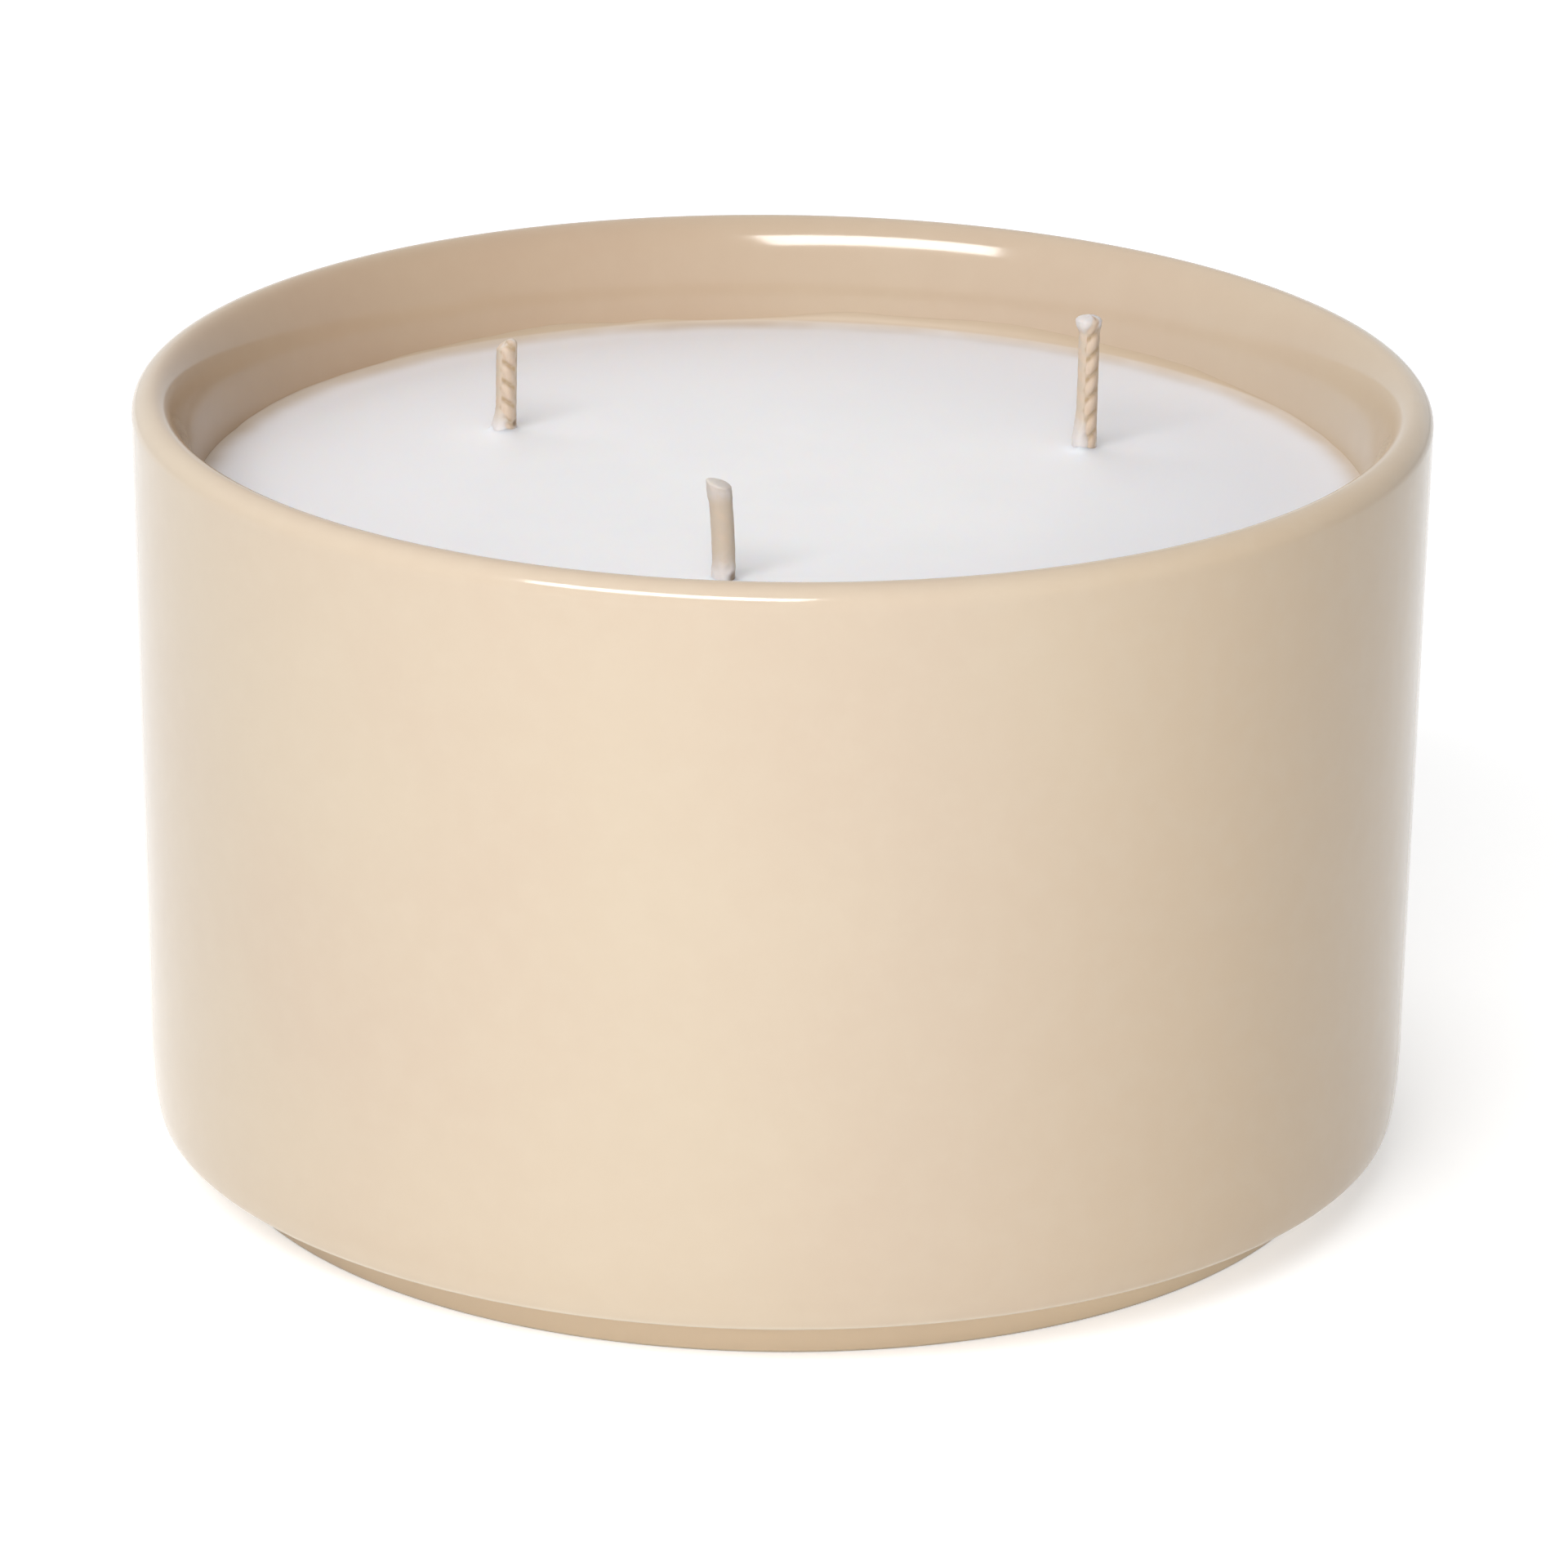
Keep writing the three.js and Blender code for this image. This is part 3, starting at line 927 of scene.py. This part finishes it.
rounding = less(1, over(below_top, given["Tip Round"], clamp=True))
shrink = calc(wick_tree, "SQRT", less(1, times(rounding, rounding)))
flare = times(times(step_up(toward_collar, 0.0, 1.0), tip), given["Tip Flare"])
full = sum_of(surface, flare)
rim_point = vectors("ADD", route_point, vectors("SCALE", outward, Scale=full))
from_dent = vectors("DISTANCE", rim_point, given["Dent Centre"])
dent = less(1, step_up(from_dent, times(given["Dent Size"], 0.3), given["Dent Size"]))
reach = times(less(full, times(dent, given["Dent Depth"])), shrink)
near_cut = less(1, step_up(below_top, 0, slope_reach))
lean_out = times(times(reach, out_parts["X"]), times(given["Tip Slope"], near_cut))
pits = cloud(wick_tree, rim_point, pit_length, 1.0)
torn = times(times(less(pits, 0.5), given["Tip Rough"]), rounding)
tilt = node("ShaderNodeCombineXYZ", {"Z": sum_of(lean_out, torn)}).outputs[0]
offset = vectors("SCALE", outward, Scale=reach)
moved = vectors("ADD", offset, tilt)
final = vectors("ADD", route_point, moved)
uncovered = {"Value": less(braid, skin_radius), "From Min": -0.12 * mm, "From Max": 0.02 * mm}
bare = node("ShaderNodeMapRange", uncovered).outputs["Result"]
first_shows = times(first_crown, calc(wick_tree, "GREATER_THAN", corner, 0))
second_shows = times(second_crown, calc(wick_tree, "LESS_THAN", corner, 0))
crown = larger(first_shows, second_shows)
waxed_ends = larger(times(tip, given["Tip White"]), times(step_up(low, 0.0, 0.9), 0.9))

shaped = skin
kept = {"bare_cotton": bare, "stitch_crown": crown, "waxed_end": waxed_ends, "dent": dent}
for name, value in kept.items():
    wires = {"Geometry": shaped, "Name": name, "Value": value}
    shaped = node("GeometryNodeStoreNamedAttribute", wires, domain="POINT").outputs[0]
shaped = node("GeometryNodeSetPosition", {"Geometry": shaped, "Position": final}).outputs[0]
shaped = node("GeometryNodeSetShadeSmooth", {"Geometry": shaped}).outputs[0]
end_tree(wick_tree, shaped, given["Material"])

# %% [markdown]
# The cotton material.
#
# Primed cotton is cream to tan. The wax on it is whiter and a little clear, so the colour is mixed
# from the numbers that the tree stored: tan where the cotton is bare, painted shade in brown in the
# grooves between stitches and in dark brown in the nick, and pale where the wax lies thick. Fine
# noise, stretched along the wick, stands for the single threads.

# %% The cotton material
cotton, tree, shader = new_material("primed_cotton")
where = put(tree, "ShaderNodeTexCoord").outputs["Object"]


def stored(name):
    """A number that the wick tree kept on the points."""
    return put(tree, "ShaderNodeAttribute", attribute_name=name).outputs["Fac"]


thread_space = put(tree, "ShaderNodeMapping", {"Vector": where, "Scale": (1, 1, 0.25)}).outputs[0]
threads = cloud(tree, thread_space, 0.25 * mm)
stitch_colour = mixed(tree, threads, (0.60, 0.465, 0.35, 1), (0.68, 0.56, 0.45, 1))
# painted shade: brown in the grooves between stitches
groove_shade_colour = (0.44, 0.31, 0.18, 1)
# painted shade: dark brown inside the nick
nick_shade_colour = (0.24, 0.15, 0.08, 1)
groove_shade = fade(tree, stored("stitch_crown"), 0.1, 0.8)
groove_shaded = mixed(tree, calc(tree, "MULTIPLY", groove_shade, 0.85), stitch_colour, groove_shade_colour)
waxy = mixed(tree, stored("waxed_end"), (0.60, 0.505, 0.405, 1), (0.70, 0.665, 0.66, 1))
coated = mixed(tree, stored("bare_cotton"), waxy, groove_shaded)
# painted shade in the nick
nick_shade = calc(tree, "MULTIPLY", stored("dent"), 0.85)
wire(tree, shader, {
    "Base Color": mixed(tree, nick_shade, coated, nick_shade_colour),
    "Roughness": 0.55,
    "Subsurface Weight": 0.35,
    "Subsurface Radius": (1.0, 0.7, 0.45),
    "Subsurface Scale": 0.6 * mm,
    "Normal": bumps(tree, threads, 0.3, 0.05 * mm),
})
print("cotton has", len(tree.nodes), "nodes")

# %% [markdown]
# The three wicks.
#
# The wicks come off one spool but were cut and set by hand. The left one has bare stitches on its
# right side and a slanting cut. The right one is the tallest, has stitches on its right too, and
# wears a flared cap of white wax. The front one is waxed all over, leans to the left and has a
# slanting cut. Each has one small nick, with painted shade in dark brown inside. A wick's route is
# coarse down in the wax, fine where it shows, and finest at the rounded tip.

# %% The three wicks
wick_looks = {
    "left": {
        "Turn": radians(17), "Lead": 3.97 * mm, "Rise": 72.24 * mm, "Flood Side": radians(107),
        "Flood Reach": -0.8, "Tip Slope": 0.45, "Tip Wax": 0.0, "Tip Length": 0.5 * mm,
        "Tip Round": 0.8 * mm, "Collar Height": 1.6 * mm, "Dent Size": 0.6 * mm,
        "Dent Depth": 0.15 * mm, "Seed": 1.0,
    },
    "right": {
        "Turn": radians(-62), "Lead": 4.3 * mm, "Rise": 71.8 * mm, "Flood Side": radians(118),
        "Flood Reach": -0.8, "Tip Wax": 0.18 * mm, "Tip Length": 1.9 * mm, "Tip Round": 0.6 * mm,
        "Tip Flare": 0.2 * mm, "Tip White": 0.85, "Tip Rough": 0.2 * mm, "Collar": 0.5 * mm,
        "Collar Height": 3 * mm, "Dent Size": 0.3 * mm, "Dent Depth": 0.1 * mm, "Seed": 2.0,
    },
    "front": {
        "Flood Reach": -1.5, "Flooding": 0.29 * mm, "Tip Slope": -0.42, "Tip Length": 2.3 * mm,
        "Tip Round": 0.35 * mm, "Tip Flare": 0.06 * mm, "Tip Rough": 0.2 * mm,
        "Collar": 0.22 * mm, "Collar Height": 2.2 * mm, "Collar Side": radians(-100),
        "Dent Size": 0.95 * mm, "Dent Depth": 0.12 * mm, "Seed": 3.0,
    },
}
# the side of each nick in degrees and its height above the level wax
dents = {"left": (-20, 0.9 * mm), "right": (-50, 14.05 * mm), "front": (-38, 0.6 * mm)}
wax_at_wick = wax_level + 0.8 * mound_height
hidden_steps = 60
fine_steps = 150
tip_steps = 9
wicks = {}
for side in sides:
    wick = wick_places[side]
    look = wick_looks[side]
    dent_side, dent_height = dents[side]
    lean_there = wick["lean"] * (dent_height / (wick["top"] - wax_level)) ** 2
    dent_centre = (
        wick["x"] + lean_there + wick["radius"] * cos(radians(dent_side)),
        wick["y"] + wick["radius"] * sin(radians(dent_side)),
        wax_level + dent_height,
    )
    slope_room = abs(look.get("Tip Slope", 0)) * 0.3 * wick["radius"]
    top = wick["top"] - slope_room - look.get("Tip Rough", 0) * 0.25
    round_top = look["Tip Round"]
    foot = plate_under + 0.02 * mm
    fine_start = wax_level - 1 * mm
    fine_end = top - round_top
    hidden = [foot + (fine_start - foot) * i / hidden_steps for i in range(hidden_steps)]
    fine = [fine_start + (fine_end - fine_start) * i / fine_steps for i in range(fine_steps)]
    rounded = [fine_end + round_top * sin(radians(90 * i / tip_steps)) for i in range(tip_steps)]
    route_points = []
    for z in hidden + fine + rounded + [top - 1e-6]:
        bend_share = max(z - wax_level, 0) / (top - wax_level)
        route_points.append((wick["x"] + wick["lean"] * bend_share ** 2, wick["y"], z))
    values = {"Wax Level": wax_at_wick, "Top": top, "Dent Centre": dent_centre, "Material": cotton, **look}
    wicks[side] = run_tree("braided_wick_" + side, wick_tree, route_points, values)
    highest = max(v.co.z for v in wicks[side].data.vertices)
    print(f"{side} wick: {volume(wicks[side]) * 1e9:.0f} cubic millimetres, up to {highest / mm:.2f} mm")

# %% [markdown]
# Putting the pieces into the frame.
#
# Each piece stands for one node of the frame, whose own part is hidden, and rides on the one body.

# %% Pieces and nodes
pieces = [(bowl, "bowl", "bowl_glaze"), (wax, "wax_fill", "wax")]
for side in sides:
    pieces.append((wicks[side], "wick_" + side, "wick_cotton"))
    pieces.append((plates[side], "sustainer_" + side, "sustainer_tin"))
    pieces.append((dots[side], "glue_dot_" + side, "glue"))
for piece, node, slot in pieces:
    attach(piece, "root")
    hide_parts(node)
print(len(pieces), "pieces ride on the candle")

# %% [markdown]
# The table and the surroundings.
#
# The candle stands on a white table in a white room. The table lies a hair under the foot ring, so
# that no two faces share a plane. Its colour is a plain pale white, and it glows a little where the
# camera and mirrors see it, so that it reads as white and still keeps the candle's shadow. The world
# is white where the camera and mirrors see it, and dim as a light.


# %% Table and world
def seen_directly(tree):
    """1 for rays from the camera and mirrors, and 0 for rays that gather light."""
    ray = put(tree, "ShaderNodeLightPath").outputs
    mirrored = calc(tree, "ADD", ray["Is Glossy Ray"], ray["Is Transmission Ray"])
    return calc(tree, "MINIMUM", calc(tree, "ADD", ray["Is Camera Ray"], mirrored), 1)


table_size = 4.0
white_for_camera = 0.5
ambient = 0.03
table_mesh = bpy.data.meshes.new("table")
half = table_size / 2
under = -0.01 * mm
corners = ((-half, -half), (half, -half), (half, half), (-half, half))
table_mesh.from_pydata([(x, y, under) for x, y in corners], [], [(0, 1, 2, 3)])
table = add("table", table_mesh)
table_white, tree, shader = new_material("table_white")
wire(tree, shader, {
    "Base Color": (0.86, 0.86, 0.86, 1),
    "Roughness": 0.9,
    "Specular IOR Level": 0.1,
    "Emission Color": (1, 1, 1, 1),
    "Emission Strength": calc(tree, "MULTIPLY", seen_directly(tree), white_for_camera),
})
table_mesh.materials.append(table_white)

world = bpy.data.worlds.new("white_room")
bpy.context.scene.world = world
world.use_nodes = True
tree = world.node_tree
strength = calc(tree, "MAXIMUM", seen_directly(tree), ambient)
wire(tree, tree.nodes["Background"], {"Color": (1, 1, 1, 1), "Strength": strength})
print("ambient light", ambient)

# %% [markdown]
# The studio lights.
#
# The long streak on the inside of the back lip is the mirror image of the main light, so its ends
# and its width give that light's place and size: a wide, low softbox at the front left, 41 degrees
# up. The line on the front lip is its mirror image too. The streak is pure white in the photo, so a
# second, stronger softbox stands a hair in front of the main one, and only mirrors see it. A weaker
# light at the back left throws the soft smears of shadow in front of the wicks, one overhead opens
# the bowl, and a large dim one at the front stands for the light that a white table and a white wall
# send back. Mirrors see none of these, because the glaze mirrors the white room there.

# %% Studio lights
aim = Vector((0, 0, 0.06))
softboxes = {
    "key": {"azimuth": -21.5, "elevation": 41, "distance": 1.2, "size": (0.89, 0.3), "power": 9.2},
    "key_glint": {"azimuth": -21.5, "elevation": 41, "distance": 1.19, "size": (0.89, 0.3), "power": 15},
    "back_left": {"azimuth": -140, "elevation": 38, "distance": 1.3, "size": (1.2, 0.8), "power": 6.4},
    "overhead": {"azimuth": 0, "elevation": 88, "distance": 1.2, "size": (1.2, 1.2), "power": 3.6},
    "front_fill": {"azimuth": 0, "elevation": 14, "distance": 1.7, "size": (2.6, 0.9), "power": 14.8},
}
for name, box in softboxes.items():
    lamp = bpy.data.lights.new(name, "AREA")
    lamp.shape = "RECTANGLE"
    lamp.size, lamp.size_y = box["size"]
    lamp.energy = box["power"]
    light = add(name, lamp)
    light.visible_glossy = name == "key_glint"
    light.visible_diffuse = name != "key_glint"
    turn = radians(box["azimuth"])
    rise = radians(box["elevation"])
    away = Vector((sin(turn) * cos(rise), -cos(turn) * cos(rise), sin(rise)))
    light.location = aim + away * box["distance"]
    light.rotation_euler = away.to_track_quat("Z", "Y").to_euler()
    print(name, "at", [round(v, 2) for v in light.location])

# %% [markdown]
# The camera.
#
# The photo was taken with a long lens from slightly above. The camera's place, its aim and its small
# roll were found by fitting the bowl's outline, with the picture taken as 1920 by 1920 pixels.

# %% The camera
sensor = 36.0
picture_width = 1920
focal_pixels = 9516
camera_distance = 0.8043
camera_elevation = radians(22.31)
camera_roll = radians(0.69)
target = Vector((0.57 * mm, 0, 37.63 * mm))
camera_place = camera_distance * Vector((0, -cos(camera_elevation), sin(camera_elevation)))
forward = (target - camera_place).normalized()
right = forward.cross(Vector((0, 0, 1))).normalized()
up = right.cross(forward)
rolled_right = cos(camera_roll) * right + sin(camera_roll) * up
rolled_up = cos(camera_roll) * up - sin(camera_roll) * right
camera_data = bpy.data.cameras.new("camera")
camera_data.sensor_width = sensor
camera_data.lens = focal_pixels * sensor / picture_width
camera_data.clip_start = 0.01
camera_data.clip_end = 20
camera = add("camera", camera_data)
turned = Matrix((rolled_right, rolled_up, -forward)).transposed().to_4x4()
camera.matrix_world = Matrix.Translation(camera_place) @ turned
bpy.context.scene.camera = camera
print(f"lens {camera_data.lens:.1f} mm")

# %% [markdown]
# Finishing.
#
# Colours render about as written with the Standard view.

# %% Finish
bpy.context.scene.view_settings.view_transform = "Standard"
